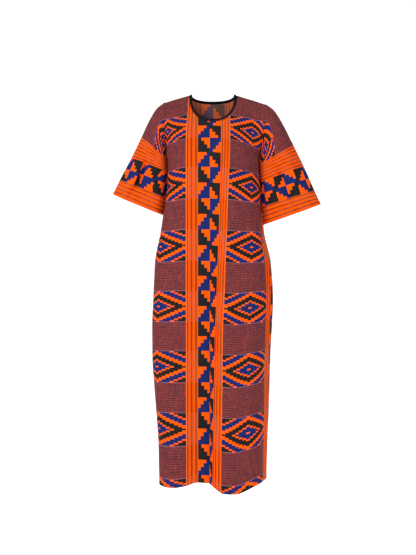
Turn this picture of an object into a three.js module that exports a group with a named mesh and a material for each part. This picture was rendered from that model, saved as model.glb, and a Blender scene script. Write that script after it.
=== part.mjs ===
import * as THREE from 'three';

// Full-length cotton print dress with a round neck and wide elbow sleeves, hollow as worn.
// Sizes are millimetres. X runs to the wearer's left, the front faces -Y and Z is up.
// The origin is between the shoulders, level with the neck ends of the shoulder seams.

const CLOTH = 2;
const SEAM_GAP = 0.3;
const ARMHOLE_GAP = 0.5;

// Neck and shoulders
const NECK_HALF_WIDTH = 79;
const NECK_TOP = -2;
const NECK_FRONT_DROP = 96;
const NECK_FRONT_DEPTH = 72;
const NECK_BACK_DROP = 20;
const NECK_BACK_DEPTH = 56;
const NECK_SQUARENESS = 2.3;
const ARMHOLE_FRONT = 56;
const ARMHOLE_BACK = 52;
const SHOULDER = {
  right: { x: -169, z: -28 },
  left: { x: 184, z: -34 },
};

// Body
const UNDERARM_LEVEL = -185;
const HEM_LEVEL = -1341;
const SIDE_SEAM_Y = 6;
const FRONT_MIDDLE = -11;
const BACK_MIDDLE = 2;
const PANEL_SQUARENESS = 3.8;
const LOBE_SQUARENESS = 2.4;
const BACK_SQUARENESS = 2.35;
const DENT_Y = -44;
const DENT_HALF = 30;

// Neck binding
const BINDING_WIDTH = 5.4;
const BINDING_THICK = 3;
const BINDING_SIDES = 8;
const BINDING_GAP = 0.9;

// Fineness of the surfaces
const FRONT_COLUMNS = { right: 20, left: 22, neckRight: 10, neckLeft: 13 };
const BACK_COLUMNS = { right: 18, left: 18, neckRight: 10, neckLeft: 10 };
const ARMHOLE_ROWS = 15;
const SKIRT_ROWS = 24;
const SLEEVE_ROWS = 15;
const SECTION_STEPS = 240;

// Body sections down from the underarm. Right and left are the side seams, on the wearer's sides.
// panel is the depth of the flat front on the right and lobe of the fuller front on the left.
// The cloth climbs from panel to lobe over the width climb, sooner where steep is larger.
// dent is the hollow down the left side, and back the depth behind.
const SECTIONS = [
  { level: -185, right: -160, left: 160, panel: -108, lobe: -128, climb: 69, steep: 0.9, dent: 0, back: 92 },
  { level: -225, right: -155, left: 159, panel: -115, lobe: -139, climb: 68, steep: 0.9, dent: 0, back: 97 },
  { level: -290, right: -156, left: 163, panel: -117, lobe: -147, climb: 68, steep: 1, dent: 0, back: 95 },
  { level: -350, right: -162, left: 166, panel: -114, lobe: -149, climb: 68, steep: 1.1, dent: 2, back: 88 },
  { level: -414, right: -172, left: 172, panel: -109, lobe: -149, climb: 66, steep: 1.2, dent: 6, back: 86 },
  { level: -470, right: -181, left: 178, panel: -105, lobe: -149, climb: 64, steep: 1.3, dent: 10, back: 94 },
  { level: -576, right: -200, left: 200, panel: -99, lobe: -148, climb: 56, steep: 1.5, dent: 16, back: 114 },
  { level: -707, right: -206, left: 208, panel: -94, lobe: -145, climb: 53, steep: 2, dent: 18, back: 130 },
  { level: -790, right: -209, left: 205, panel: -91, lobe: -143, climb: 51, steep: 2.5, dent: 16, back: 130 },
  { level: -894, right: -209, left: 199, panel: -88, lobe: -140, climb: 48, steep: 3, dent: 13, back: 126 },
  { level: -997, right: -202, left: 196, panel: -86, lobe: -138, climb: 46, steep: 3.5, dent: 12, back: 123 },
  { level: -1121, right: -193, left: 192, panel: -84, lobe: -136, climb: 44, steep: 4.2, dent: 10, back: 122 },
  { level: -1220, right: -187, left: 188, panel: -83, lobe: -135, climb: 43, steep: 5, dent: 9, back: 123 },
  { level: -1341, right: -185, left: 185, panel: -82, lobe: -134, climb: 41, steep: 5.3, dent: 8, back: 126 },
];

// How far each level of the cloth hangs above or below its own height, at places across
const HANG_PLACES = [-200, -140, -95, -50, -11, 35, 75, 140, 200];
const HANG = [
  { level: -185, lift: [-36, -15, -4, 0, 0, -4, -9, -25, -48] },
  { level: -258, lift: [-18, -12, -1, 0, 0, -4, -8, -20, -30] },
  { level: -470, lift: [-6, -4, 0, 0, 0, -4, -6, -8, -9] },
  { level: -675, lift: [-2, -1, 0, 0, 0, -6, -9, -9, 0] },
  { level: -1088, lift: [0, 0, 0, 2, 2, -13, -17, -9, 6] },
  { level: -1341, lift: [6, -2, 4, 16, 14, -13, -16, 7, 23] },
];

// Soft folds down the body: place across, half width, height out of the cloth, and the levels
// at which each one starts and is full
const FRONT_FOLDS = [
  { x: -145, half: 34, out: 8, start: -820, full: -1300 },
  { x: -62, half: 30, out: -8, start: -900, full: -1300 },
  { x: 92, half: 20, out: -4, start: -420, full: -900 },
  { x: 128, half: 24, out: 5, start: -560, full: -1100 },
];
const BACK_FOLDS = [
  { x: -128, half: 26, out: 16, start: -420, full: -1150 },
  { x: -78, half: 26, out: -12, start: -380, full: -1100 },
  { x: -26, half: 27, out: 15, start: -300, full: -1200 },
  { x: 28, half: 26, out: -13, start: -360, full: -1150 },
  { x: 82, half: 28, out: 16, start: -420, full: -1200 },
  { x: 136, half: 24, out: -8, start: -460, full: -1150 },
];

// Sleeve rings below the armhole. reach is the length of the outer edge down to the ring.
// The outer and inner edges have X and Z, and front and back are the depths between them.
const SLEEVES = {
  right: [
    { reach: 27, outX: -192, outZ: -45, inX: -162, inZ: -211, front: 60, back: 55 },
    { reach: 72, outX: -217, outZ: -84, inX: -161.5, inZ: -218, front: 63, back: 58 },
    { reach: 142, outX: -247, outZ: -148, inX: -160, inZ: -229, front: 65, back: 60 },
    { reach: 220, outX: -282, outZ: -219, inX: -158, inZ: -270, front: 63, back: 57 },
    { reach: 306, outX: -321, outZ: -294, inX: -166, inZ: -358, front: 57, back: 51 },
    { reach: 361, outX: -345, outZ: -343, inX: -174.5, inZ: -415, front: 52, back: 46 },
  ],
  left: [
    { reach: 28, outX: 208, outZ: -51, inX: 162.5, inZ: -222, front: 60, back: 55 },
    { reach: 73, outX: 233, outZ: -88, inX: 162.5, inZ: -231, front: 63, back: 58 },
    { reach: 171, outX: 278, outZ: -176, inX: 163, inZ: -247, front: 66, back: 60 },
    { reach: 250, outX: 313, outZ: -247, inX: 166.5, inZ: -306, front: 64, back: 57 },
    { reach: 342, outX: 350, outZ: -331, inX: 172, inZ: -389, front: 58, back: 51 },
    { reach: 394, outX: 372, outZ: -377, inX: 179.5, inZ: -449, front: 53, back: 46 },
  ],
};

// Sleeve folds. turn is the angle from the outer edge round through the front, in degrees.
// start and full are shares of the sleeve's length.
const SLEEVE_FOLDS = [
  { turn: 62, half: 15, out: 3.5, start: 0.15, full: 0.8 },
  { turn: 98, half: 16, out: -3.5, start: 0.1, full: 0.6 },
  { turn: 134, half: 15, out: 4, start: 0.15, full: 0.7 },
  { turn: 226, half: 17, out: 4, start: 0.15, full: 0.7 },
  { turn: 266, half: 17, out: -3.5, start: 0.1, full: 0.7 },
  { turn: 306, half: 16, out: 3.5, start: 0.2, full: 0.8 },
];

function mix(a, b, t) {
  return a + (b - a) * t;
}

function ease(t) {
  const held = Math.min(1, Math.max(0, t));
  return held * held * (3 - 2 * held);
}

// Smooth curve through values at rising places, which never overshoots between two of them
function along(places, values, place) {
  const last = places.length - 1;
  if (place <= places[0]) return values[0];
  if (place >= places[last]) return values[last];
  let k = 0;
  while (place > places[k + 1]) k += 1;
  const rate = (i) => (values[i + 1] - values[i]) / (places[i + 1] - places[i]);
  const slope = (i) => {
    if (i === 0) return rate(0);
    if (i === last) return rate(last - 1);
    const before = rate(i - 1);
    const after = rate(i);
    return before * after <= 0 ? 0 : (2 * before * after) / (before + after);
  };
  const width = places[k + 1] - places[k];
  const t = (place - places[k]) / width;
  const rest = 1 - t;
  const held = values[k] * (1 + 2 * t) * rest * rest + values[k + 1] * t * t * (3 - 2 * t);
  return held + width * (slope(k) * t * rest * rest - slope(k + 1) * t * t * rest);
}

function read(table, place, name, at) {
  const sign = table[0][place] < table[1][place] ? 1 : -1;
  return along(table.map((row) => sign * row[place]), table.map((row) => row[name]), sign * at);
}

function liftAt(x, level) {
  const lifts = HANG.map((row) => along(HANG_PLACES, row.lift, x));
  return along(HANG.map((row) => -row.level), lifts, -level);
}

function foldsAt(folds, x, level) {
  let out = 0;
  for (const fold of folds) {
    const grown = ease((fold.start - level) / (fold.start - fold.full));
    out += fold.out * grown * Math.exp(-(((x - fold.x) / fold.half) ** 2));
  }
  return out;
}

// One quarter of a squared oval, as shares along its two half sizes
function quarter(square, share) {
  const turn = share * Math.PI * 0.5;
  return { side: Math.sin(turn) ** (2 / square), face: Math.cos(turn) ** (2 / square) };
}

// Front section on one side, from the middle line to the side seam
function frontHalf(level, sideName) {
  const at = (name) => read(SECTIONS, 'level', name, level);
  const onLeft = sideName === 'left';
  const edge = at(sideName);
  const panel = at('panel');
  const lobe = at('lobe');
  const climb = at('climb');
  const steep = at('steep');
  const dent = at('dent');
  const path = [];
  for (let i = 0; i <= SECTION_STEPS; i += 1) {
    const q = quarter(onLeft ? LOBE_SQUARENESS : PANEL_SQUARENESS, i / SECTION_STEPS);
    let x = mix(FRONT_MIDDLE, edge, q.side);
    let y = mix(SIDE_SEAM_Y, onLeft ? lobe : panel, q.face);
    if (onLeft) {
      const left = 1 - Math.min(1, (x - FRONT_MIDDLE) / climb);
      y += (panel - lobe) * left ** steep;
      x -= dent * Math.exp(-(((y - DENT_Y) / DENT_HALF) ** 2));
    }
    y -= foldsAt(FRONT_FOLDS, x, level) * ease(q.face * 1.6);
    path.push(new THREE.Vector2(x, y));
  }
  return path;
}

function backHalf(level, sideName) {
  const edge = read(SECTIONS, 'level', sideName, level);
  const back = read(SECTIONS, 'level', 'back', level);
  const path = [];
  for (let i = 0; i <= SECTION_STEPS; i += 1) {
    const q = quarter(BACK_SQUARENESS, i / SECTION_STEPS);
    const x = mix(BACK_MIDDLE, edge, q.side);
    const y = mix(SIDE_SEAM_Y, back, q.face);
    path.push(new THREE.Vector2(x, y + foldsAt(BACK_FOLDS, x, level) * ease(q.face * 1.6)));
  }
  return path;
}

// Points at given shares of the length of a path
function spaced(path, shares) {
  const reach = [0];
  for (let i = 1; i < path.length; i += 1) {
    reach.push(reach[i - 1] + path[i].distanceTo(path[i - 1]));
  }
  let k = 0;
  return shares.map((share) => {
    const want = share * reach[reach.length - 1];
    while (k < path.length - 2 && reach[k + 1] < want) k += 1;
    return path[k].clone().lerp(path[k + 1], (want - reach[k]) / (reach[k + 1] - reach[k]));
  });
}

// Shares of a half section, closer together near its middle line
function columnShares(count) {
  const shares = [];
  for (let i = 0; i <= count; i += 1) shares.push((i / count) * (0.8 + (0.2 * i) / count));
  return shares;
}

// A whole row of a panel, from the wearer's right side seam to the left one
function sectionRow(level, isFront) {
  const columns = isFront ? FRONT_COLUMNS : BACK_COLUMNS;
  const half = isFront ? frontHalf : backHalf;
  const right = spaced(half(level, 'right'), columnShares(columns.right));
  const left = spaced(half(level, 'left'), columnShares(columns.left));
  const seam = (isFront ? -0.5 : 0.5) * SEAM_GAP;
  return [...right.reverse(), ...left.slice(1)].map((point, i, all) => {
    const atSeam = i === 0 || i === all.length - 1 ? seam : 0;
    return new THREE.Vector3(point.x, point.y + atSeam, level + liftAt(point.x, level));
  });
}

// Neck edge on one side, from a panel's middle line out to the shoulder seam
function neckPoints(isFront, sideName, count) {
  const drop = isFront ? NECK_FRONT_DROP : NECK_BACK_DROP;
  const depth = isFront ? NECK_FRONT_DEPTH : NECK_BACK_DEPTH;
  const seam = 0.5 * SEAM_GAP;
  const middle = isFront ? FRONT_MIDDLE : BACK_MIDDLE;
  const side = sideName === 'right' ? -1 : 1;
  const path = [];
  for (let i = 0; i <= SECTION_STEPS; i += 1) {
    const x = mix(side * middle, NECK_HALF_WIDTH, Math.sin((i / SECTION_STEPS) * Math.PI * 0.5));
    const share = Math.abs(x) / NECK_HALF_WIDTH;
    const down = Math.max(0, 1 - share ** NECK_SQUARENESS) ** (1 / NECK_SQUARENESS);
    path.push(new THREE.Vector2(x, down * drop));
  }
  const shares = Array.from({ length: count + 1 }, (unused, i) => i / count);
  return spaced(path, shares).map((point) => {
    const y = seam + (depth - seam) * Math.max(0, point.y / drop) ** 0.9;
    return new THREE.Vector3(side * point.x, isFront ? -y : y, NECK_TOP - point.y);
  });
}

// Top edge of a panel, along one shoulder seam, the neck and the other shoulder seam
function topRow(isFront) {
  const columns = isFront ? FRONT_COLUMNS : BACK_COLUMNS;
  const seam = (isFront ? -0.5 : 0.5) * SEAM_GAP;
  const sides = [['right', columns.right, columns.neckRight], ['left', columns.left, columns.neckLeft]];
  const halves = sides.map(([sideName, count, neckCount]) => {
    const shoulder = SHOULDER[sideName];
    const neckX = Math.sign(shoulder.x) * NECK_HALF_WIDTH;
    const half = neckPoints(isFront, sideName, neckCount);
    for (let i = neckCount + 1; i <= count; i += 1) {
      const t = (i - neckCount) / (count - neckCount);
      half.push(new THREE.Vector3(mix(neckX, shoulder.x, t), seam, mix(NECK_TOP, shoulder.z, t)));
    }
    return half;
  });
  return [...halves[0].reverse(), ...halves[1].slice(1)];
}

// Share of the way from the top edge to the underarm for one of the armhole rows
function armholeShare(row) {
  return (1 - Math.cos((row / ARMHOLE_ROWS) * Math.PI)) / 2;
}

// Chest or back of a panel, from its top edge down to the underarm
function upperRows(isFront) {
  const columns = isFront ? FRONT_COLUMNS : BACK_COLUMNS;
  const top = topRow(isFront);
  const under = sectionRow(UNDERARM_LEVEL, isFront);
  const armhole = isFront ? -ARMHOLE_FRONT : ARMHOLE_BACK;
  const rows = [];
  for (let j = 0; j < ARMHOLE_ROWS; j += 1) {
    const t = armholeShare(j);
    const forward = 0.5 * t ** 0.8 + 0.5 * Math.sin(t * Math.PI * 0.5);
    rows.push(top.map((start, i) => {
      const end = under[i];
      const from = i - columns.right;
      const toSide = from < 0 ? -from / columns.right : from / columns.left;
      const round = mix(1.7, 0.5, toSide ** 4);
      const bulge = armhole * toSide ** 3 * (4 * t * (1 - t)) ** round;
      const y = mix(start.y, end.y, forward) + bulge;
      return new THREE.Vector3(mix(start.x, end.x, t), y, mix(start.z, end.z, t));
    }));
  }
  return rows;
}

function panelRows(isFront) {
  const rows = upperRows(isFront);
  for (let j = 0; j <= SKIRT_ROWS; j += 1) {
    const t = (j / SKIRT_ROWS) * (0.75 + (0.25 * j) / SKIRT_ROWS);
    rows.push(sectionRow(mix(UNDERARM_LEVEL, HEM_LEVEL, t), isFront));
  }
  return rows;
}

// First ring of a sleeve, a narrow gap outside the armhole edges of the front and the back
function armholeRing(frontRows, backRows, sideName) {
  const side = (rows, j) => (sideName === 'right' ? rows[j][0] : rows[j][rows[j].length - 1]);
  const outward = new THREE.Vector3(Math.sign(SHOULDER[sideName].x) * ARMHOLE_GAP, 0, 0);
  const ring = [];
  for (let j = 0; j <= ARMHOLE_ROWS; j += 1) ring.push(side(frontRows, j).clone());
  for (let j = ARMHOLE_ROWS - 1; j > 0; j -= 1) ring.push(side(backRows, j).clone());
  ring[0].lerp(side(backRows, 0), 0.5);
  ring[ARMHOLE_ROWS].lerp(side(backRows, ARMHOLE_ROWS), 0.5);
  return ring.map((point) => point.add(outward));
}

function sleeveRows(frontRows, backRows, sideName) {
  const table = SLEEVES[sideName];
  const shoulder = SHOULDER[sideName];
  const first = armholeRing(frontRows, backRows, sideName);
  const under = first[ARMHOLE_ROWS];
  const start = {
    reach: 0,
    outX: shoulder.x,
    outZ: shoulder.z,
    inX: under.x,
    inZ: under.z,
    front: ARMHOLE_FRONT,
    back: ARMHOLE_BACK,
  };
  const rings = [start, ...table];
  const rows = [first];
  for (let k = 1; k <= SLEEVE_ROWS; k += 1) {
    const share = (k / SLEEVE_ROWS) * (0.7 + (0.3 * k) / SLEEVE_ROWS);
    const at = (name) => read(rings, 'reach', name, share * table[table.length - 1].reach);
    const middle = new THREE.Vector3((at('outX') + at('inX')) / 2, 0, (at('outZ') + at('inZ')) / 2);
    const row = [];
    for (let j = 0; j < 2 * ARMHOLE_ROWS; j += 1) {
      const angle = (j / ARMHOLE_ROWS) * Math.PI;
      const across = (1 - Math.cos(angle)) / 2;
      const depth = Math.sin(angle) > 0 ? at('front') : at('back');
      const y = SIDE_SEAM_Y * across - depth * Math.sin(angle);
      const x = mix(at('outX'), at('inX'), across);
      const point = new THREE.Vector3(x, y, mix(at('outZ'), at('inZ'), across));
      const out = point.clone().sub(middle).normalize();
      row.push(point.addScaledVector(out, sleeveFoldsAt((180 * j) / ARMHOLE_ROWS, share)));
    }
    rows.push(row);
  }
  return rows;
}

function sleeveFoldsAt(turn, share) {
  let out = 0;
  for (const fold of SLEEVE_FOLDS) {
    const grown = ease((share - fold.start) / (fold.full - fold.start));
    out += fold.out * grown * Math.exp(-(((turn - fold.turn) / fold.half) ** 2));
  }
  return out;
}

// Outward direction at each point of a surface. sign is 1 where rows cross columns outward.
function directions(rows, closed, sign) {
  const last = rows.length - 1;
  return rows.map((row, j) => row.map((point, i) => {
    const count = row.length;
    const before = closed ? row[(i + count - 1) % count] : row[Math.max(0, i - 1)];
    const after = closed ? row[(i + 1) % count] : row[Math.min(count - 1, i + 1)];
    const down = rows[Math.min(last, j + 1)][i].clone().sub(rows[Math.max(0, j - 1)][i]);
    return down.cross(after.clone().sub(before)).multiplyScalar(sign).normalize();
  }));
}

// Two pieces share one direction along a seam, unless their faces meet back to back
function joinDirections(a, b) {
  const near = ease((a.dot(b) + 0.4) / 0.8);
  const first = a.clone();
  a.addScaledVector(b, near).normalize();
  b.addScaledVector(first, near).normalize();
}

function setSeamDirections(frontOut, backOut, columnsOf) {
  const sides = [0, 1];
  for (const side of sides) {
    const shoulder = side === 0 ? SHOULDER.right : SHOULDER.left;
    const slope = (NECK_TOP - shoulder.z) / (Math.abs(shoulder.x) - NECK_HALF_WIDTH);
    const up = new THREE.Vector3(Math.sign(shoulder.x) * slope, 0, 1).normalize();
    for (const [out, columns] of [[frontOut, columnsOf.front], [backOut, columnsOf.back]]) {
      const width = out[0].length - 1;
      const neck = side === 0 ? columns.right - columns.neckRight : columns.right + columns.neckLeft;
      for (let i = 0; i <= width; i += 1) {
        if (side === 0 ? i <= neck : i >= neck) out[0][i].copy(up);
      }
      for (let j = ARMHOLE_ROWS; j < out.length; j += 1) {
        out[j][side === 0 ? 0 : width].setY(0).normalize();
      }
    }
  }
}

function joinArmhole(frontOut, backOut, sleeveOut, sideName) {
  const edge = (out, j) => out[j][sideName === 'right' ? 0 : out[j].length - 1];
  const ring = sleeveOut[0];
  for (let j = 1; j < ARMHOLE_ROWS; j += 1) {
    joinDirections(edge(frontOut, j), ring[j]);
    joinDirections(edge(backOut, j), ring[2 * ARMHOLE_ROWS - j]);
  }
  ring[0].copy(edge(frontOut, 0));
  ring[ARMHOLE_ROWS].setY(0).normalize();
}

// Closed wall of cloth between a surface and the same surface moved inward
function clothWall(rows, out, closed, sign) {
  const height = rows.length;
  const width = rows[0].length;
  const outer = (j, i) => j * width + (i % width);
  const inner = (j, i) => (height + j) * width + (i % width);
  const points = [];
  for (const row of rows) points.push(...row);
  rows.forEach((row, j) => row.forEach((point, i) => {
    points.push(point.clone().addScaledVector(out[j][i], -CLOTH));
  }));
  const faces = [];
  const quad = (a, b, c, d) => faces.push(sign > 0 ? [a, b, c, d] : [a, d, c, b]);
  const span = closed ? width : width - 1;
  for (let j = 0; j < height - 1; j += 1) {
    for (let i = 0; i < span; i += 1) {
      quad(outer(j, i), outer(j + 1, i), outer(j + 1, i + 1), outer(j, i + 1));
      quad(inner(j, i), inner(j, i + 1), inner(j + 1, i + 1), inner(j + 1, i));
    }
  }
  for (let i = 0; i < span; i += 1) {
    const end = height - 1;
    quad(outer(0, i), outer(0, i + 1), inner(0, i + 1), inner(0, i));
    quad(outer(end, i), inner(end, i), inner(end, i + 1), outer(end, i + 1));
  }
  if (!closed) {
    for (let j = 0; j < height - 1; j += 1) {
      const end = width - 1;
      quad(outer(j, 0), inner(j, 0), inner(j + 1, 0), outer(j + 1, 0));
      quad(outer(j, end), outer(j + 1, end), inner(j + 1, end), inner(j, end));
    }
  }
  return solid(points, faces);
}

function solid(points, faces) {
  const geometry = new THREE.BufferGeometry();
  const place = points.flatMap((p) => [p.x, p.y, p.z]);
  geometry.setAttribute('position', new THREE.Float32BufferAttribute(place, 3));
  geometry.setIndex(faces.flatMap(([a, b, c, d]) => [a, b, c, a, c, d]));
  geometry.computeVertexNormals();
  return geometry;
}

// Neck binding, a narrow strip closed into a ring just inside the neck edges
function neckBinding(frontRows, backRows, frontOut, backOut) {
  const pick = (rows, columns) => {
    const start = columns.right - columns.neckRight;
    return rows[0].slice(start, columns.right + columns.neckLeft + 1);
  };
  const frontEdge = pick(frontRows, FRONT_COLUMNS);
  const backEdge = pick(backRows, BACK_COLUMNS).reverse();
  const edge = [...frontEdge, ...backEdge.slice(1, -1)].map((point) => point.clone());
  const backEdgeOut = pick(backOut, BACK_COLUMNS).reverse();
  const out = [...pick(frontOut, FRONT_COLUMNS), ...backEdgeOut.slice(1, -1)];
  edge[0].setY(0);
  edge[frontEdge.length - 1].setY(0);
  const count = edge.length;
  const points = [];
  edge.forEach((point, i) => {
    const way = edge[(i + 1) % count].clone().sub(edge[(i + count - 1) % count]).normalize();
    const inward = out[i].clone().cross(way).normalize();
    const level = way.clone().cross(inward).normalize();
    const middle = point.clone().addScaledVector(out[i], -CLOTH / 2);
    middle.addScaledVector(inward, BINDING_WIDTH / 2 + BINDING_GAP);
    for (let k = 0; k < BINDING_SIDES; k += 1) {
      const turn = ((k + 0.5) / BINDING_SIDES) * Math.PI * 2;
      const wide = (Math.cos(turn) * BINDING_WIDTH * 0.5) / Math.cos(Math.PI / BINDING_SIDES);
      const thick = (Math.sin(turn) * BINDING_THICK * 0.5) / Math.cos(Math.PI / BINDING_SIDES);
      points.push(middle.clone().addScaledVector(inward, wide).addScaledVector(level, thick));
    }
  });
  const faces = [];
  for (let i = 0; i < count; i += 1) {
    for (let k = 0; k < BINDING_SIDES; k += 1) {
      const next = ((i + 1) % count) * BINDING_SIDES;
      const turned = (k + 1) % BINDING_SIDES;
      faces.push([i * BINDING_SIDES + k, i * BINDING_SIDES + turned, next + turned, next + k]);
    }
  }
  return solid(points, faces);
}

function piece(name, geometry, colour, roughness) {
  const material = new THREE.MeshStandardMaterial({ color: colour, roughness, metalness: 0 });
  material.name = name;
  const mesh = new THREE.Mesh(geometry, material);
  mesh.name = name;
  return mesh;
}

function dress() {
  const front = panelRows(true);
  const back = panelRows(false);
  const sleeveRight = sleeveRows(front, back, 'right');
  const sleeveLeft = sleeveRows(front, back, 'left');
  const frontOut = directions(front, false, 1);
  const backOut = directions(back, false, -1);
  const rightOut = directions(sleeveRight, true, 1);
  const leftOut = directions(sleeveLeft, true, -1);
  setSeamDirections(frontOut, backOut, { front: FRONT_COLUMNS, back: BACK_COLUMNS });
  joinArmhole(frontOut, backOut, rightOut, 'right');
  joinArmhole(frontOut, backOut, leftOut, 'left');
  const group = new THREE.Group();
  group.name = 'print_dress';
  group.add(
    piece('front', clothWall(front, frontOut, false, 1), 0x8c3f3d, 0.8),
    piece('back', clothWall(back, backOut, false, -1), 0x7e3a3a, 0.8),
    piece('sleeve_right', clothWall(sleeveRight, rightOut, true, 1), 0xf26a12, 0.8),
    piece('sleeve_left', clothWall(sleeveLeft, leftOut, true, -1), 0xf26a12, 0.8),
    piece('neck_binding', neckBinding(front, back, frontOut, backOut), 0x17171a, 0.7),
  );
  return group;
}

export default dress();
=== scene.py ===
import math

import bpy
import numpy as np
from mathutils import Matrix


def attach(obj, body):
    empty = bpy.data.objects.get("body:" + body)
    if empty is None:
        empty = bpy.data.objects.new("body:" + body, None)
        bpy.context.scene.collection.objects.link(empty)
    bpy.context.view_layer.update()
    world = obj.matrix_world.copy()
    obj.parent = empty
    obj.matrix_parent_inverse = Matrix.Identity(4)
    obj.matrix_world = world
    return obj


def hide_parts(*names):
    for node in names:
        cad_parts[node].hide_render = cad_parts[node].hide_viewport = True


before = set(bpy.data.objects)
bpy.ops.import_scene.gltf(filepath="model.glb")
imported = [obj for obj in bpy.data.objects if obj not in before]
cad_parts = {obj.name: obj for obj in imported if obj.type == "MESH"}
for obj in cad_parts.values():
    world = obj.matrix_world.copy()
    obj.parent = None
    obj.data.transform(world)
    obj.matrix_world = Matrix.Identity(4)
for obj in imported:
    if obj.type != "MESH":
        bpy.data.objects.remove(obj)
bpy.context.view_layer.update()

# --------------------------------------
# Front panel. One piece of plain-woven printed cotton from the shoulders to the hem, seamed at
# the shoulders, armholes and sides. Its right half hangs flat and falls back in a soft valley
# beside the middle stripe, and its left half stands fuller.
# --------------------------------------
MM = 0.001
CLOTH_THICK = 0.55 * MM
SEAM_GAP = 0.3
UNDERARM_LEVEL = -185
HEM_LEVEL = -1341
SIDE_SEAM_Y = 6
FRONT_MIDDLE = -11
BACK_MIDDLE = 2
PANEL_SQUARENESS = 3.8
LOBE_SQUARENESS = 2.4
DENT_Y = -44
DENT_HALF = 30
NECK_HALF_WIDTH = 79
NECK_TOP = -2
NECK_SQUARENESS = 2.3
SHOULDER = {"right": (-169, -28), "left": (184, -34)}

# How far down and forward (or back) the neck goes, how far the armhole bulges, and the share of
# each half of the top edge that the neck takes
FRONT_CUT = dict(neck_drop=96, neck_depth=72, armhole=-56,
                 neck_share={"right": 0.5, "left": 0.59375})

# Sections down from the underarm, as the cloth hangs
SECTION_NAMES = ("level", "right", "left", "panel", "lobe", "climb", "steep", "dent", "back")
SECTIONS = np.array([
    (-185, -160, 160, -108, -128, 69, 0.9, 0, 92),
    (-225, -155, 159, -115, -139, 68, 0.9, 0, 97),
    (-290, -156, 163, -117, -147, 68, 1.0, 0, 95),
    (-350, -162, 166, -114, -149, 68, 1.1, 2, 88),
    (-414, -172, 172, -109, -149, 66, 1.2, 6, 86),
    (-470, -181, 178, -105, -149, 64, 1.3, 10, 94),
    (-576, -200, 200, -99, -148, 56, 1.5, 16, 114),
    (-707, -206, 208, -94, -145, 53, 2.0, 18, 130),
    (-790, -209, 205, -91, -143, 51, 2.5, 16, 130),
    (-894, -209, 199, -88, -140, 48, 3.0, 13, 126),
    (-997, -202, 196, -86, -138, 46, 3.5, 12, 123),
    (-1121, -193, 192, -84, -136, 44, 4.2, 10, 122),
    (-1220, -187, 188, -83, -135, 43, 5.0, 9, 123),
    (-1341, -185, 185, -82, -134, 41, 5.3, 8, 126),
])

# How far each level of the cloth hangs above or below its own height, at places across
HANG_PLACES = (-200, -140, -95, -50, -11, 35, 75, 140, 200)
HANG_LEVELS = (-185, -258, -470, -675, -1088, -1341)
HANG_LIFTS = np.array([
    (-36, -15, -4, 0, 0, -4, -9, -25, -48),
    (-18, -12, -1, 0, 0, -4, -8, -20, -30),
    (-6, -4, 0, 0, 0, -4, -6, -8, -9),
    (-2, -1, 0, 0, 0, -6, -8, -4, 2),
    (0, 0, 0, 2, 2, -12, -14, -2, 10),
    (6, -2, 4, 16, 14, -13, -16, 7, 23),
])
# The same for the print over the chest, where the cloth is pulled up at the neck
CHEST_LEVELS = (-40, -72, -159, -185)
CHEST_LIFTS = np.array([
    (-22, -12, -4, 0, 0, -2, -6, -16, -28),
    (-26, -14, -4, 0, 0, -2, -7, -19, -33),
    (-38, -14, -4, 0, 0, -3, -9, -27, -50),
    (-36, -15, -4, 0, 0, -4, -9, -25, -48),
])

# Broad folds: place across, half width, height out of the cloth, and where it starts and is full
FRONT_FOLDS = [
    (-145, 34, 8, -820, -1300),
    (-62, 30, -8, -900, -1300),
    (92, 20, -4, -420, -900),
    (128, 24, 5, -560, -1100),
]
# Creases laid on one by one, each from one place to another (x and z), with half width and height
FRONT_CREASES = [
    (-158, -150, -118, -196, 7, -3.3),
    (-150, -186, -96, -222, 9, 2.7),
    (-146, -214, -92, -262, 8, -2.4),
    (150, -172, 108, -214, 8, -3.6),
    (146, -206, 96, -244, 9, 2.8),
    (142, -236, 98, -286, 8, -2.4),
    (-112, -60, -128, -150, 8, -2.2),
    (128, -62, 140, -150, 8, -2.7),
    (112, -58, 118, -138, 7, 2.1),
    (-150, -330, -118, -470, 10, 2.2),
    (-128, -420, -150, -620, 12, -2.7),
    (-100, -560, -112, -860, 13, 2.4),
    (-126, -760, -120, -1080, 13, -2.5),
    (-90, -980, -100, -1300, 12, 2.2),
    (-158, -1000, -150, -1320, 11, -2.7),
    (60, -300, 66, -480, 9, 2.1),
    (104, -360, 92, -560, 10, -2.5),
    (140, -430, 150, -640, 11, 2.4),
    (112, -620, 104, -900, 12, -2.4),
    (76, -760, 84, -1060, 11, 2.2),
    (150, -820, 142, -1150, 12, -2.5),
    (108, -1020, 116, -1310, 12, 2.4),
    (-30, -700, -36, -1000, 12, 1.5),
    (-44, -1120, -28, -1330, 12, 1.8),
]


def ease(t):
    held = np.clip(t, 0, 1)
    return held * held * (3 - 2 * held)


def mix(a, b, t):
    return a + (b - a) * t


def along(places, values, at):
    """Smooth curve through values at rising places, which never overshoots between two."""
    places = np.asarray(places, float)
    values = np.asarray(values, float)
    width = np.diff(places).reshape((-1,) + (1,) * (values.ndim - 1))
    rates = np.diff(values, axis=0) / width
    before, after = rates[:-1], rates[1:]
    total = np.where(before + after == 0, 1, before + after)
    inner = np.where(before * after <= 0, 0, 2 * before * after / total)
    slopes = np.concatenate([rates[:1], inner, rates[-1:]])
    held = np.clip(at, places[0], places[-1])
    k = np.clip(np.searchsorted(places, held) - 1, 0, len(places) - 2)
    gap = places[k + 1] - places[k]
    t = (held - places[k]) / gap
    column = () if values.ndim == 1 else (np.arange(values.shape[1]),)
    a, b, slope_a, slope_b = (
        table[(row, *column)] for table in (values, slopes) for row in (k, k + 1))
    rest = 1 - t
    height = a * (1 + 2 * t) * rest * rest + b * t * t * (3 - 2 * t)
    return height + gap * (slope_a * t * rest * rest - slope_b * t * t * rest)


def section(name, level):
    return float(along(-SECTIONS[:, 0], SECTIONS[:, SECTION_NAMES.index(name)], -level))


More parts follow.
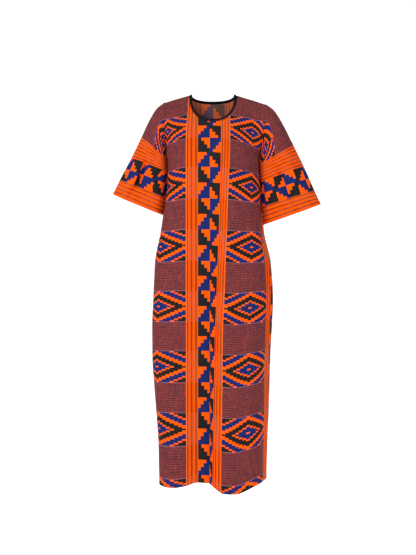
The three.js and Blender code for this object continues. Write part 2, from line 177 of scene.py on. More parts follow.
def lift_at(x, level, levels=HANG_LEVELS, lifts=HANG_LIFTS):
    rows = np.array([along(HANG_PLACES, row, x) for row in lifts])
    return along(-np.asarray(levels), rows, -level)


def folds_at(folds, x, level):
    out = np.zeros_like(x)
    for place, half, height, start, full in folds:
        out += height * ease((start - level) / (start - full)) * np.exp(-((x - place) / half) ** 2)
    return out


CURVE_STEPS = 400
# Folds fade out toward a side seam, from where the cloth is 1 / FOLD_FADE of its full depth
FOLD_FADE = 1.6


def quarter(square):
    """One quarter of a squared oval, as shares along its two half sizes."""
    turn = np.linspace(0, math.pi / 2, CURVE_STEPS)
    return np.sin(turn) ** (2 / square), np.abs(np.cos(turn)) ** (2 / square)


def front_half(level, side_name):
    on_left = side_name == "left"
    panel, lobe = section("panel", level), section("lobe", level)
    side, face = quarter(LOBE_SQUARENESS if on_left else PANEL_SQUARENESS)
    x = mix(FRONT_MIDDLE, section(side_name, level), side)
    y = mix(SIDE_SEAM_Y, lobe if on_left else panel, face)
    if on_left:
        left = 1 - np.minimum(1, (x - FRONT_MIDDLE) / section("climb", level))
        y = y + (panel - lobe) * left ** section("steep", level)
        x = x - section("dent", level) * np.exp(-((y - DENT_Y) / DENT_HALF) ** 2)
    return x, y - folds_at(FRONT_FOLDS, x, level) * ease(face * FOLD_FADE)


def spaced(lines, shares):
    """Points at given shares of the length of a path, which is a list of coordinate arrays."""
    steps = np.sqrt(sum(np.diff(line) ** 2 for line in lines))
    reach = np.concatenate([[0], np.cumsum(steps)])
    return [np.interp(np.asarray(shares) * reach[-1], reach, line) for line in lines]


# The last columns of a half row, by their distance from the seam, where the cloth turns in
CLOSE_TO_SEAM = np.array([0.011, 0.006, 0.0025, 0])


def column_places(count):
    """Places across one half of a panel, with three close ones where the seam turns in."""
    even = np.linspace(0, 1, count + 1)[:-1]
    return np.concatenate([even, 1 - CLOSE_TO_SEAM])


NEARLY = 1e-9
NECK_STEPS = 500
# How quickly the neck comes forward below the shoulder
NECK_FORWARD = 0.9


def top_half(cut, side_name, places, on_front):
    """Top edge on one side: the neck from the middle line, and then the shoulder seam."""
    side = -1 if side_name == "right" else 1
    middle = FRONT_MIDDLE if on_front else BACK_MIDDLE
    seam = 0.5 * SEAM_GAP
    turn = np.linspace(0, math.pi / 2, NECK_STEPS)
    x = mix(side * middle, NECK_HALF_WIDTH, np.sin(turn))
    share = np.clip(np.abs(x) / NECK_HALF_WIDTH, 0, 1)
    down = np.maximum(0, 1 - share ** NECK_SQUARENESS) ** (1 / NECK_SQUARENESS) * cut["neck_drop"]
    neck_share = cut["neck_share"][side_name]
    on_neck = places <= neck_share + NEARLY
    nx, nd = spaced((x, down), np.clip(places / neck_share, 0, 1))
    ny = mix(seam, cut["neck_depth"], np.maximum(0, nd / cut["neck_drop"]) ** NECK_FORWARD)
    t = np.clip((places - neck_share) / (1 - neck_share), 0, 1)
    shoulder_x, shoulder_z = SHOULDER[side_name]
    top_x = np.where(on_neck, side * nx, mix(side * NECK_HALF_WIDTH, shoulder_x, t))
    top_y = np.where(on_neck, ny, seam) * (-1 if on_front else 1)
    top_z = np.where(on_neck, NECK_TOP - nd, mix(NECK_TOP, shoulder_z, t))
    return np.stack([top_x, top_y, top_z], 1)


# Below the underarm rows lie closer at the top and columns at the middle, by these shares
ROW_CLOSENESS = 0.75
COLUMN_CLOSENESS = 0.8
NEAR_TOP = (0, 0.02, 0.04)
# How the chest comes forward from the shoulder, and how the armhole's bulge grows and sharpens
CHEST_FORWARD = 0.8
BULGE_GROWS = 3
BULGE_SHARPENS = 4
BULGE_MIDDLE = 1.7
BULGE_EDGE = 0.5


def panel_grid(cut, half, columns, upper_rows, skirt_rows, on_front):
    """Rows of points from the top edge to the hem, with the levels of the rows from the
    underarm down and the steps of the rows above it."""
    places = {side: column_places(columns) for side in ("right", "left")}
    seam = (-0.5 if on_front else 0.5) * SEAM_GAP

    def whole(right, left):
        return np.concatenate([right[::-1], left[1:]])

    def row(level):
        sides = []
        for side in ("right", "left"):
            shares = places[side] * mix(COLUMN_CLOSENESS, 1, places[side])
            sides.append(np.stack(spaced(half(level, side), shares), 1))
        points = whole(*sides)
        points[[0, -1], 1] += seam
        height = level + lift_at(points[:, 0], level)
        return np.column_stack([points, height])

    top = whole(*(top_half(cut, side, places[side], on_front) for side in ("right", "left")))
    under = row(UNDERARM_LEVEL)
    to_side = whole(places["right"], places["left"])[None, :, None]
    near_top = np.concatenate([NEAR_TOP, np.linspace(0, 1, upper_rows + 1)[1:-1]])
    t = ((1 - np.cos(near_top * math.pi)) / 2)[:, None, None]
    forward = 0.5 * (t ** CHEST_FORWARD + np.sin(t * math.pi / 2))
    grid = mix(top[None], under[None], t)
    sharp = mix(BULGE_MIDDLE, BULGE_EDGE, to_side ** BULGE_SHARPENS)
    bulge = cut["armhole"] * to_side ** BULGE_GROWS * (4 * t * (1 - t)) ** sharp
    grid[:, :, 1] = (mix(top[None, :, 1:2], under[None, :, 1:2], forward) + bulge)[:, :, 0]
    steps = np.linspace(0, 1, skirt_rows + 1)
    levels = mix(UNDERARM_LEVEL, HEM_LEVEL, steps * mix(ROW_CLOSENESS, 1, steps))
    levels = np.sort(np.concatenate([levels, HEM_LEVEL + HEM_LINES]))[::-1]
    skirt = np.array([row(level) for level in levels])
    return np.concatenate([grid, skirt]), levels, near_top


# The print is measured in metres of cloth, across from the middle line and down by its bands.
# Above the underarm its measure across grows into the one below it, by this power of the way down
STRETCH_POWER = 0.7
AT_MIDDLE = 1


def across_places(grid, middle_x, upper_count):
    """How far each point is from the middle line, measured over the cloth at its own height."""
    middle = int(np.argmin(np.abs(grid[-1, :, 0] - middle_x)))
    steps = np.linalg.norm(np.diff(grid, axis=1)[:, :, :2], axis=2)
    across = np.zeros(grid.shape[:2])
    across[:, middle + 1:] = np.cumsum(steps[:, middle:], axis=1)
    across[:, :middle] = -np.cumsum(steps[:, :middle][:, ::-1], axis=1)[:, ::-1]
    across += (grid[:, middle, 0] - middle_x)[:, None]
    under = across[upper_count].copy()
    level_x = grid[:upper_count, :, 0] - middle_x
    near_middle = np.abs(under) < AT_MIDDLE
    stretch = under / np.where(near_middle, 1, grid[upper_count, :, 0] - middle_x)
    stretch[near_middle] = 1
    share = np.linspace(0, 1, upper_count)[:, None] ** STRETCH_POWER
    across[:upper_count] = level_x * mix(1.0, stretch[None], share)
    return across


# Where the front's print is drawn in (less than 0) or let out on the right: by how much, from
# which height and over what length, and from which place across and over what width. A length
# or width below 0 runs down or to the right
RIGHT_EASED = [
    (-8, -150, 130, -40, -41),
    (9, -600, -300, -81, -100),
]
# How much it is let out on the left beside the middle, at heights down the front, where that
# comes in, and how much more it is let out toward the side
LEFT_EASED = [
    (-150, 7), (-370, 10), (-540, 6), (-680, 5), (-780, 6), (-890, 5), (-1000, 3), (-1340, 2),
]
LEFT_EASED_PLACE = (22, 54)
LEFT_SIDE_EASED = 4
LEFT_SIDE_PLACE = (76, 70)


def coming_in(value, start, length):
    """0 before the start and 1 after the length, which is below 0 where it runs the other way."""
    return ease((value - start) / length)


def front_eased(across, height):
    """The front's measure across, eased where the worn cloth closes or opens the print."""
    eased = across.copy()
    for amount, from_height, length, place, width in RIGHT_EASED:
        eased += amount * coming_in(height, from_height, length) * coming_in(across, place, width)
    heights, amounts = zip(*LEFT_EASED)
    amount = along(-np.array(heights), amounts, -height)
    eased += amount * coming_in(across, *LEFT_EASED_PLACE)
    return eased + LEFT_SIDE_EASED * coming_in(across, *LEFT_SIDE_PLACE)


# The print's bands down the cloth, from the first one below the shoulder
BAND_EDGES = (-72.5, -159, -258.4, -364.5, -468.3, -574.7, -674.5, -779.2, -878, -985.8,
              -1088, -1201.4, -1312.9)
FIRST_BAND_DEEP = 100.0
LAST_BAND_DEEP = 111.5
BAND = 0.1055


def bands_down(level):
    """The print's own distance down the cloth, in metres, at a level of the hanging cloth."""
    edges = -np.asarray(BAND_EDGES, float)
    last = len(edges) - 1
    bands = np.interp(-level, edges, np.arange(len(edges)))
    bands = np.where(-level < edges[0], (-level - edges[0]) / FIRST_BAND_DEEP, bands)
    bands = np.where(-level > edges[-1], last + (-level - edges[-1]) / LAST_BAND_DEEP, bands)
    return bands * BAND


SETTLING_ROUNDS = 12


def print_levels(grid, levels, upper_count):
    """The level of the print at each point: the rows' own below the underarm, and above it the
    height less the lift of the chest."""
    found = np.repeat(levels[:, None], grid.shape[1], axis=1)
    upper = grid[:upper_count]
    level = upper[:, :, 2].copy()
    for _ in range(SETTLING_ROUNDS):
        for j in range(upper_count):
            lift = lift_at(upper[j, :, 0], level[j], CHEST_LEVELS, CHEST_LIFTS)
            level[j] = 0.5 * level[j] + 0.5 * (upper[j, :, 2] - lift)
    return np.concatenate([level, found])


def outward(grid, facing):
    """Outward direction at each point of a grid of rows."""
    down = np.gradient(grid, axis=0)
    over = np.gradient(grid, axis=1)
    out = np.cross(down, over) * facing
    return out / np.maximum(np.linalg.norm(out, axis=2, keepdims=True), NEARLY)


def reach_over(points, axis=0):
    """Distance of each point from the first one of its line or column, from point to point."""
    steps = np.linalg.norm(np.diff(points, axis=axis), axis=-1)
    return np.insert(np.cumsum(steps, axis), 0, 0, axis)


def edge_reach(grid):
    """Distance of each point from the side edges, the top edge and the bottom edge."""
    from_first, from_top = reach_over(grid, 1), reach_over(grid, 0)
    from_last = from_first[:, -1:] - from_first
    return np.minimum(from_first, from_last), from_top, from_top[-1:] - from_top


# Along a seam the cloth turns in, this deep and over this width
SEAM_DIP = 1.1
SEAM_DIP_WIDE = 2.4
# The hem is turned up by this much, stands out a little, and is sunk along its stitches. Close
# rows of points follow it
HEM_TURN = 15
HEM_STANDS = 0.45
HEM_STEP_AT = 1.5
HEM_STEP_WIDE = 2
STITCH_DIP = 0.5
STITCH_DIP_WIDE = 1.2
HEM_LINES = np.array([18.5, 17, 16, 15, 14, 13, 11.5])
# Creases fade out this far from the side and top seams. Each bends over its length, is uneven,
# starts and ends over shares of its length, and widens on its way
CREASE_FROM_SIDE = 16
CREASE_FROM_TOP = 14
CREASE_BEND = 0.06
CREASE_BEND_TURN = math.pi * 1.3
CREASE_UNEVEN = 0.25
CREASE_WAVES = 9
CREASE_STARTS = 0.28
CREASE_STOPS = 0.35
CREASE_OPEN = 0.15
CREASE_NARROW = 0.8
CREASE_WIDENS = 0.5
# The low ripple of limp cotton, and the lengths of its waves
RIPPLE = 0.5
RIPPLE_ACROSS = 21
RIPPLE_SWAY = 1.7
RIPPLE_SWAY_LONG = 90
RIPPLE_DOWN = 63
RIPPLE_SLANT = 47


def hand_creased(grid, creases, facing, places, turned=HEM_TURN):
    """The grid with its creases, fading out at the seams, where the cloth turns in, and with
    its turned hem standing out a little below a sunk line of stitches."""
    sides, top, bottom = edge_reach(grid)
    across, down = places
    raised = np.zeros(grid.shape[:2])
    for x0, z0, x1, z1, half, height in creases:
        way = np.array([x1 - x0, z1 - z0], float)
        long = np.linalg.norm(way)
        way /= long
        dx, dz = across - x0, down - z0
        run = (dx * way[0] + dz * way[1]) / long
        bend = CREASE_BEND * long * np.sin(run * CREASE_BEND_TURN)
        off = dx * way[1] - dz * way[0] + bend
        ends = ease(run / CREASE_STARTS + CREASE_OPEN)
        ends = ends * ease((1 - run) / CREASE_STOPS + CREASE_OPEN)
        uneven = 1 + CREASE_UNEVEN * np.sin(run * CREASE_WAVES + x0)
        wide = half * (CREASE_NARROW + CREASE_WIDENS * run.clip(0, 1))
        raised += height * ends * uneven * np.exp(-(off / wide) ** 2)
    sway = RIPPLE_SWAY * np.sin(down / RIPPLE_SWAY_LONG)
    slant = np.sin(down / RIPPLE_DOWN + across / RIPPLE_SLANT)
    raised += RIPPLE * np.sin(across / RIPPLE_ACROSS + sway) * slant
    raised *= ease(sides / CREASE_FROM_SIDE) * ease(top / CREASE_FROM_TOP)
    raised -= SEAM_DIP * np.exp(-(sides / SEAM_DIP_WIDE) ** 2)
    raised -= SEAM_DIP * np.exp(-(top / SEAM_DIP_WIDE) ** 2)
    raised += HEM_STANDS * (1 - ease((bottom - turned + HEM_STEP_AT) / HEM_STEP_WIDE))
    raised -= STITCH_DIP * np.exp(-((bottom - turned) / STITCH_DIP_WIDE) ** 2)
    return grid + outward(grid, facing) * raised[:, :, None]


def dye(red, green, blue):
    """A colour as read on a screen, 0 to 255, in the numbers that the shaders use."""
    shares = [value / 255 for value in (red, green, blue)]
    return [s / 12.92 if s <= 0.04045 else ((s + 0.055) / 1.055) ** 2.4 for s in shares] + [1.0]


ORANGE = dye(255, 90, 0)
STRIPE_ORANGE = dye(254, 84, 0)
BLUE = dye(26, 41, 99)
BLACK = dye(35, 33, 33)
REDDISH = dye(168, 64, 56)
PLUM = dye(100, 52, 56)
DARK_THREAD = dye(50, 34, 44)
OLIVE = dye(84, 50, 22)
MAUVE = dye(108, 76, 60)
PALE_EDGE = dye(224, 132, 66)
LAVENDER = dye(168, 112, 128)


def feed(tree, node, values):
    """Give a node's inputs, by name or place, Drawn numbers, sockets or plain values."""
    for slot, value in values.items():
        if isinstance(value, Drawn):
            value = value.socket
        if isinstance(value, bpy.types.NodeSocket):
            tree.links.new(value, node.inputs[slot])
        else:
            node.inputs[slot].default_value = value


def by_node(operation):
    """A method of Drawn numbers that is one Math node."""
    return lambda self, *others: self.math(operation, *others)


class Drawn:
    """A number that varies over the cloth, worked out by Math nodes, so a print reads as sums."""

    def __init__(self, tree, socket):
        self.tree, self.socket = tree, socket

    def math(self, operation, *others):
        node = self.tree.nodes.new("ShaderNodeMath")
        node.operation = operation
        feed(self.tree, node, dict(enumerate((self, *others))))
        return Drawn(self.tree, node.outputs[0])

    __add__ = by_node("ADD")
    __sub__ = by_node("SUBTRACT")
    __mul__ = by_node("MULTIPLY")
    __truediv__ = by_node("DIVIDE")
    __lt__ = by_node("LESS_THAN")
    __gt__ = by_node("GREATER_THAN")
    floor = by_node("FLOOR")
    size = by_node("ABSOLUTE")
    most = by_node("MAXIMUM")

    def within(self, length):
        """What is left over after whole lengths, never negative."""
        return self - (self / length).floor() * length

    def held(self):
        """The same number, kept between 0 and 1."""
        return self.math("MINIMUM", 1.0).most(0.0)

    def flip(self):
        return (self * -1) + 1

    def chosen(self, other, share):
        """This number where share is 0, and the other where it is 1."""
        return self + (other - self) * share


def lay(tree, under, over, share):
    """One colour laid over another by a share, which is a Drawn number or a plain one."""
    node = tree.nodes.new("ShaderNodeMix")
    node.data_type = "RGBA"
    feed(tree, node, {0: share, 6: under, 7: over})
    return node.outputs[2]


def noise(tree, across, down, detail=2.0):
    """Soft uneven noise, stretched by how fast its two inputs run."""
    joined = tree.nodes.new("ShaderNodeCombineXYZ")
    feed(tree, joined, {0: across, 1: down})
    node = tree.nodes.new("ShaderNodeTexNoise")
    feed(tree, node, {"Scale": 1.0, "Detail": detail, "Vector": joined.outputs[0]})
    return Drawn(tree, node.outputs["Fac"])


LINE_SOFT = 0.2


def thin_lines(place, centres, half):
    """Soft-edged lines at given centres: 1 on a line's middle, and 0 beyond its half width."""
    line = None
    for centre in centres:
        one = ((place - centre).size() / half).flip()
        line = one if line is None else line.most(one)
    return line.most(0.0).math("SMOOTH_MIN", 1.0, LINE_SOFT)


# How much of a step the dark colours run over the edge of the orange
PRINT_SPREAD = 0.15


def stairs(tree, x, y):
    """The two-cell staircase of the kente border. x runs over 8 steps and y over 4, from the
    upper left, and rows turn end for end in turn."""
    turned = (y / 4).floor().within(2)
    down = y.within(4)
    over = x.chosen((x * -1) + 8, turned)
    down = down.chosen((down * -1) + 4, turned)
    in_left = over < 4.0
    step = (over + PRINT_SPREAD).floor()
    left_orange = (step + (down + PRINT_SPREAD).floor()) < 2.5
    right_orange = (step - 4) < ((down - PRINT_SPREAD).floor() - 0.5)
    orange = right_orange.chosen(left_orange, in_left)
    ground = lay(tree, BLACK, BLUE, in_left)
    return lay(tree, ground, ORANGE, orange)


DIAMOND_COLUMNS = 15
DIAMOND_ROWS = 19
# Rings of a diamond, by the first and last step out from its middle; between them it is orange
DIAMOND_RINGS = [(1, 3, BLUE), (5, 7, BLACK), (10, 12, BLUE), (14, 17, BLACK)]


def diamonds(tree, x, y):
    """Stepped diamonds. x and y are shares, 0 to 1, of one diamond's block."""
    over = ((x * DIAMOND_COLUMNS).floor() - DIAMOND_COLUMNS // 2).size()
    down = ((y * DIAMOND_ROWS).floor() - DIAMOND_ROWS // 2).size()
    steps = over + down
    colour = ORANGE
    for first, last, ring_colour in DIAMOND_RINGS:
        colour = lay(tree, colour, ring_colour, (steps > first - 0.5) * (steps < last + 0.5))
    return colour


# The reddish ground: its streaks and patches to the metre, how much each counts, and how strongly
# the plum threads show; then its dark lines, how far apart, how wide, how broken and how dark
STREAKS_FINE = 420
STREAKS_DOWN = 18
STREAKS_ACROSS = 22
PATCHES = 110
MIXED = (0.5, 0.55, 0.45)
PLUM_FROM = 0.5
PLUM_STRENGTH = 3.0
LINE_GAP = 0.0082
LINE_HALF = 0.0022
BREAKS_ACROSS = 150
BREAKS_DOWN = 40
BROKEN_FROM = 0.34
BROKEN_STRENGTH = 5
LINE_SHARE = 0.95


def heather(tree, across, down):
    """Reddish brown ground of mixed threads, with fine broken dark lines across it."""
    warp = noise(tree, across * STREAKS_FINE, down * STREAKS_DOWN)
    weft = noise(tree, across * STREAKS_ACROSS, down * STREAKS_FINE)
    broad = noise(tree, across * PATCHES, down * PATCHES)
    mixed = warp * MIXED[0] + weft * MIXED[1] + broad * MIXED[2]
    ground = lay(tree, REDDISH, PLUM, ((mixed - PLUM_FROM) * PLUM_STRENGTH).held())
    broken = noise(tree, across * BREAKS_ACROSS, down * BREAKS_DOWN)
    lines = thin_lines(down.within(LINE_GAP), [LINE_GAP * 0.5], LINE_HALF)
    lines = lines * ((broken - BROKEN_FROM) * BROKEN_STRENGTH).held()
    return lay(tree, ground, DARK_THREAD, lines * LINE_SHARE)


EDGE_HALF = 0.0016
EDGE_SHARE = 0.8


def edged(tree, band, band_place):
    """A band with a thin pale line along both of its edges."""
    edge = thin_lines(band_place, [0.0, BAND], EDGE_HALF)
    return lay(tree, band, LAVENDER, edge * EDGE_SHARE)


# The parts of the print's repeat from right to left, in metres
STRIPES_RIGHT = 0.041
KENTE = 0.080
STRIPES_LEFT = 0.036
PANEL = 0.190
REPEAT = STRIPES_RIGHT + KENTE + STRIPES_LEFT + PANEL
KENTE_STEP = 0.010
KENTE_ROW_STEP = BAND / 8
KENTE_STARTS = 4
# Lines in the stripes: their places and half widths
DARK_LINES_RIGHT = [([0.0058], 0.0042), ([0.0190, 0.0345], 0.0056)]
DARK_LINES_LEFT = ([0.006, 0.0165, 0.0285], 0.0042)
PALE_LINE_RIGHT = ([0.0006], 0.0022)
PALE_LINE_LEFT = ([STRIPES_LEFT], 0.0022)
PALE_SHARE = 0.8


def dress_print(tree, across, down):
    """The print of the body: a kente column between thin stripes, then a panel of bands that
    are in turn stepped diamonds and reddish heather, and over again."""
    place = (across + 0.5 * KENTE + STRIPES_RIGHT).within(REPEAT)
    left_place = place - (STRIPES_RIGHT + KENTE)
    panel_place = place - (STRIPES_RIGHT + KENTE + STRIPES_LEFT)
    in_heather = (down / BAND).floor().within(2)
    band_place = down.within(BAND)

    dark = thin_lines(left_place, *DARK_LINES_LEFT)
    for lines in DARK_LINES_RIGHT:
        dark = dark.most(thin_lines(place, *lines))
    line_colour = lay(tree, MAUVE, OLIVE, in_heather)
    stripes = lay(tree, STRIPE_ORANGE, line_colour, dark)
    pale = thin_lines(place, *PALE_LINE_RIGHT).most(thin_lines(left_place, *PALE_LINE_LEFT))
    stripes = lay(tree, stripes, PALE_EDGE, pale * PALE_SHARE)

    kente_down = down / KENTE_ROW_STEP + KENTE_STARTS
    kente = stairs(tree, (place - STRIPES_RIGHT) / KENTE_STEP, kente_down)

    diamond = diamonds(tree, panel_place / PANEL, band_place / BAND)
    ground = heather(tree, across, down)
    panel = edged(tree, lay(tree, diamond, ground, in_heather), band_place)

    in_kente = (place > STRIPES_RIGHT) * (place < STRIPES_RIGHT + KENTE)
    in_panel = panel_place > 0.0
    return lay(tree, lay(tree, stripes, kente, in_kente), panel, in_panel)


def new_material(name):
    """A new material, with its nodes and its shader."""
    material = bpy.data.materials.new(name)
    material.use_nodes = True
    return material, material.node_tree, material.node_tree.nodes["Principled BSDF"]


def new_cotton(name):
    """A cotton to be coloured, with its distances across and down in metres of cloth."""
    material, tree, bsdf = new_material(name)
    cloth = tree.nodes.new("ShaderNodeUVMap")
    cloth.uv_map = "cloth"
    split = tree.nodes.new("ShaderNodeSeparateXYZ")
    feed(tree, split, {0: cloth.outputs[0]})
    across, down = Drawn(tree, split.outputs[0]), Drawn(tree, split.outputs[1])
    return material, tree, bsdf, across, down


THREAD_HEIGHT = 0.0002
THREAD_SHARE = 0.5


def raise_threads(tree, bsdf, threads, slubs, strength):
    """The weave and its uneven threads, standing a little out of the cloth."""
    bump = tree.nodes.new("ShaderNodeBump")
    height = threads * THREAD_SHARE + slubs
    feed(tree, bump, {"Strength": strength, "Distance": THREAD_HEIGHT, "Height": height})
    feed(tree, bsdf, {"Normal": bump.outputs[0]})


# Plain weave: a full wave of over and under, in metres, and how strongly it stands out
WEAVE = 0.0011
WEAVE_STRENGTH = 0.25
SLUBS_ACROSS = 1400
SLUBS_DOWN = 300
# Wear: patches to the metre, their detail, the least brightness left and how much it varies
WORN_ACROSS = 38
WORN_DOWN = 30
WORN_DETAIL = 3.0
WORN_LEAST = 0.92
WORN_VARIES = 0.16
ROUGH_PATCHES = 200
ROUGH_LEAST = 0.68
ROUGH_VARIES = 0.16
# The wrong side: how much of this paler colour lies over the print
WRONG_SIDE = dye(150, 108, 92)
WRONG_SIDE_SHARE = 0.42


def printed_cotton(name, draw, wrong_side=False):
    """Printed plain-woven cotton. The wrong side shows the print through, duller and paler."""
    material, tree, bsdf, across, down = new_cotton(name)
    shade = tree.nodes.new("ShaderNodeHueSaturation")
    worn = noise(tree, across * WORN_ACROSS, down * WORN_DOWN, WORN_DETAIL)
    feed(tree, shade, {"Value": worn * WORN_VARIES + WORN_LEAST})
    feed(tree, shade, {"Color": draw(tree, across, down)})
    colour = shade.outputs[0]
    if wrong_side:
        colour = lay(tree, colour, WRONG_SIDE, WRONG_SIDE_SHARE)
    wave = 2 * math.pi / WEAVE
    threads = (across * wave).math("SINE") * (down * wave).math("SINE")
    slubs = noise(tree, across * SLUBS_ACROSS, down * SLUBS_DOWN)
    raise_threads(tree, bsdf, threads, slubs, WEAVE_STRENGTH)
    rough = noise(tree, across * ROUGH_PATCHES, down * ROUGH_PATCHES)
    feed(tree, bsdf, {"Base Color": colour, "Roughness": rough * ROUGH_VARIES + ROUGH_LEAST,
                      "Sheen Weight": 0.01, "Sheen Roughness": 0.5, "Specular IOR Level": 0.04})
    return material


def placed(name, data):
    """A new object in the scene."""
    placed_object = bpy.data.objects.new(name, data)
    bpy.context.scene.collection.objects.link(placed_object)
    return placed_object


def made(name, points, faces, materials, smooth=True):
    """A new piece, of points in metres and faces, its shading smooth or flat."""
    mesh = bpy.data.meshes.new(name)
    mesh.from_pydata(points, [], faces)
    for material in materials:
        mesh.materials.append(material)
    mesh.polygons.foreach_set("use_smooth", [smooth] * len(mesh.polygons))
    return placed(name, mesh)


def measured(piece, places):
    """Give each corner of each face its place on the flat cloth."""
    layer = piece.data.uv_layers.new(name="cloth")
    layer.data.foreach_set("uv", np.asarray(places, np.float32).ravel())


HEM_THICK = 1.25 * MM
# Points up to this far above the hem's stitches are doubled with it
HEM_OVER = 0.5


def sewn_panel(name, grid, print_places, facing, materials, node,
               stitches, stitch_row, turned=HEM_TURN):
    """One cut piece of cloth from a grid of points in millimetres, doubled at its turned hem,
    with a row of stitches along it."""
    rows, columns = grid.shape[:2]
    index = np.arange(rows * columns).reshape(rows, columns)
    corners = [index[:-1, :-1], index[1:, :-1], index[1:, 1:], index[:-1, 1:]]
    faces = np.stack([c.ravel() for c in corners], 1)
    if facing < 0:
        faces = faces[:, ::-1]
    piece = made(name, (grid.reshape(-1, 3) * MM).tolist(), faces.tolist(), materials)
    across, down = print_places
    measured(piece, np.stack([across.ravel(), down.ravel()], 1)[faces.ravel()])
    hem = piece.vertex_groups.new(name="turned_hem")
    in_hem = np.flatnonzero(edge_reach(grid)[2].ravel() < turned + HEM_OVER)
    hem.add(in_hem.tolist(), 1.0, "REPLACE")
    wall = piece.modifiers.new("wall", "SOLIDIFY")
    wall.thickness = HEM_THICK
    wall.vertex_group = "turned_hem"
    wall.thickness_vertex_group = CLOTH_THICK / HEM_THICK
    wall.offset = -1
    wall.use_even_offset = False
    wall.material_offset = 1
    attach(piece, "root")
    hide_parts(node)
    thread_row(stitches, grid[stitch_row], outward(grid, facing)[stitch_row], ORANGE_THREAD,
               node, "print_cloth")


def at_reach(values, reach, places):
    """Values given along a line, at other places along it."""
    return np.stack([np.interp(places, reach, values[:, k]) for k in range(3)], 1)


def unit(ways):
    return ways / np.linalg.norm(ways, axis=1, keepdims=True)


# A stitch, in millimetres: how often one comes, how long and half how wide it is, and its
# section as shares of the half width and heights out of the cloth
STITCH_PITCH = 3.4
STITCH_LONG = 2.5
STITCH_HALF = 0.2
STITCH_SECTION = ((-1, -0.25), (1, -0.25), (0.6, 0.25), (-0.6, 0.25))
STITCH_SIDES = [(0, 1, 5, 4), (1, 2, 6, 5), (2, 3, 7, 6), (3, 0, 4, 7), (3, 2, 1, 0), (4, 5, 6, 7)]


def sewing_thread(name, colour):
    """Spun thread of one colour, the same material wherever the name is the same."""
    material = bpy.data.materials.get(name)
    if material is None:
        material, tree, bsdf = new_material(name)
        feed(tree, bsdf, {"Base Color": colour, "Roughness": 0.55, "Specular IOR Level": 0.2})
    return material


def thread_row(name, line, out, colour, node, slot):
    """A row of machine stitches along a line on the cloth, each a short bar of thread."""
    reach = reach_over(line)
    starts = np.arange(STITCH_PITCH, reach[-1] - STITCH_PITCH, STITCH_PITCH)
    first, last = at_reach(line, reach, starts), at_reach(line, reach, starts + STITCH_LONG)
    up = unit(at_reach(out, reach, starts))
    over = np.cross(up, unit(last - first)) * STITCH_HALF
    corners = [end + side * over + up * height
               for end in (first, last) for side, height in STITCH_SECTION]
    points = np.stack(corners, 1).reshape(-1, 3) * MM
    faces = [tuple(8 * k + corner for corner in side)
             for k in range(len(starts)) for side in STITCH_SIDES]
    cotton_thread = sewing_thread("thread_" + slot, colour)
    thread = made(name, points.tolist(), faces, [cotton_thread], smooth=False)
    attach(thread, "root")
    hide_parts(node)


BODY_COLUMNS = 64
UPPER_ROWS = 62
SKIRT_ROWS = 210
ORANGE_THREAD = dye(208, 84, 22)
body_cotton = [
    printed_cotton("printed_cotton", dress_print),
    printed_cotton("printed_cotton_wrong_side", dress_print, wrong_side=True),
]

front_grid, front_levels, upper_steps = panel_grid(
    FRONT_CUT, front_half, BODY_COLUMNS, UPPER_ROWS, SKIRT_ROWS, True)
upper_count = len(upper_steps)
front_across = front_eased(
    across_places(front_grid, FRONT_MIDDLE, upper_count), front_grid[:, :, 2])
front_down = bands_down(print_levels(front_grid, front_levels, upper_count))
front_cloth = hand_creased(
    front_grid, FRONT_CREASES, 1, (front_grid[:, :, 0], front_grid[:, :, 2]))
hem_row = upper_count + int(np.argmin(np.abs(front_levels - (HEM_LEVEL + HEM_TURN))))
sewn_panel("front_panel", front_cloth, (front_across * MM, front_down), 1, body_cotton,
           "front", "front_hem_stitches", hem_row)

# --------------------------------------
# Back panel. The same printed cotton, cut a little narrower with a shallow neck. It hangs clear
# of the back in soft upright folds that widen toward the hem.
# --------------------------------------
BACK_SQUARENESS = 2.35
BACK_CUT = dict(neck_drop=20, neck_depth=56, armhole=52,
                neck_share={"right": 0.5625, "left": 0.5625})
BACK_FOLDS = [
    (-128, 26, 16, -420, -1150),
    (-78, 26, -12, -380, -1100),
    (-26, 27, 15, -300, -1200),
    (28, 26, -13, -360, -1150),
    (82, 28, 16, -420, -1200),
    (136, 24, -8, -460, -1150),
]
BACK_CREASES = [
    (-150, -150, -104, -200, 8, -3.3),
    (-146, -192, -92, -236, 9, 2.8),
    (146, -156, 100, -206, 8, -3.4),
    (140, -198, 90, -240, 9, 2.7),
    (-104, -70, -118, -170, 8, -2.2),
    (106, -72, 116, -172, 8, -2.4),
    (-60, -300, -72, -480, 11, 2.7),
    (64, -290, 54, -470, 11, -2.7),
    (8, -360, 2, -560, 12, 2.4),
    (-104, -520, -98, -840, 13, 2.5),
    (110, -540, 106, -880, 13, -2.5),
    (-52, -700, -58, -1050, 13, 2.2),
    (54, -760, 60, -1100, 13, 2.4),
    (-150, -820, -146, -1180, 12, -2.7),
    (150, -860, 154, -1200, 12, 2.4),
    (0, -960, 6, -1310, 13, -2.2),
    (-100, -1040, -106, -1320, 12, 2.4),
    (106, -1060, 110, -1330, 12, -2.4),
]


def back_half(level, side_name):
    side, face = quarter(BACK_SQUARENESS)
    x = mix(BACK_MIDDLE, section(side_name, level), side)
    y = mix(SIDE_SEAM_Y, section("back", level), face)
    return x, y + folds_at(BACK_FOLDS, x, level) * ease(face * FOLD_FADE)


back_grid, back_levels, _ = panel_grid(
    BACK_CUT, back_half, BODY_COLUMNS, UPPER_ROWS, SKIRT_ROWS, False)
back_across = across_places(back_grid, BACK_MIDDLE, upper_count)
back_down = bands_down(print_levels(back_grid, back_levels, upper_count)) + BAND
back_cloth = hand_creased(back_grid, BACK_CREASES, -1, (back_grid[:, :, 0], back_grid[:, :, 2]))
sewn_panel("back_panel", back_cloth, (back_across * MM, back_down), -1, body_cotton,
           "back", "back_hem_stitches", hem_row)

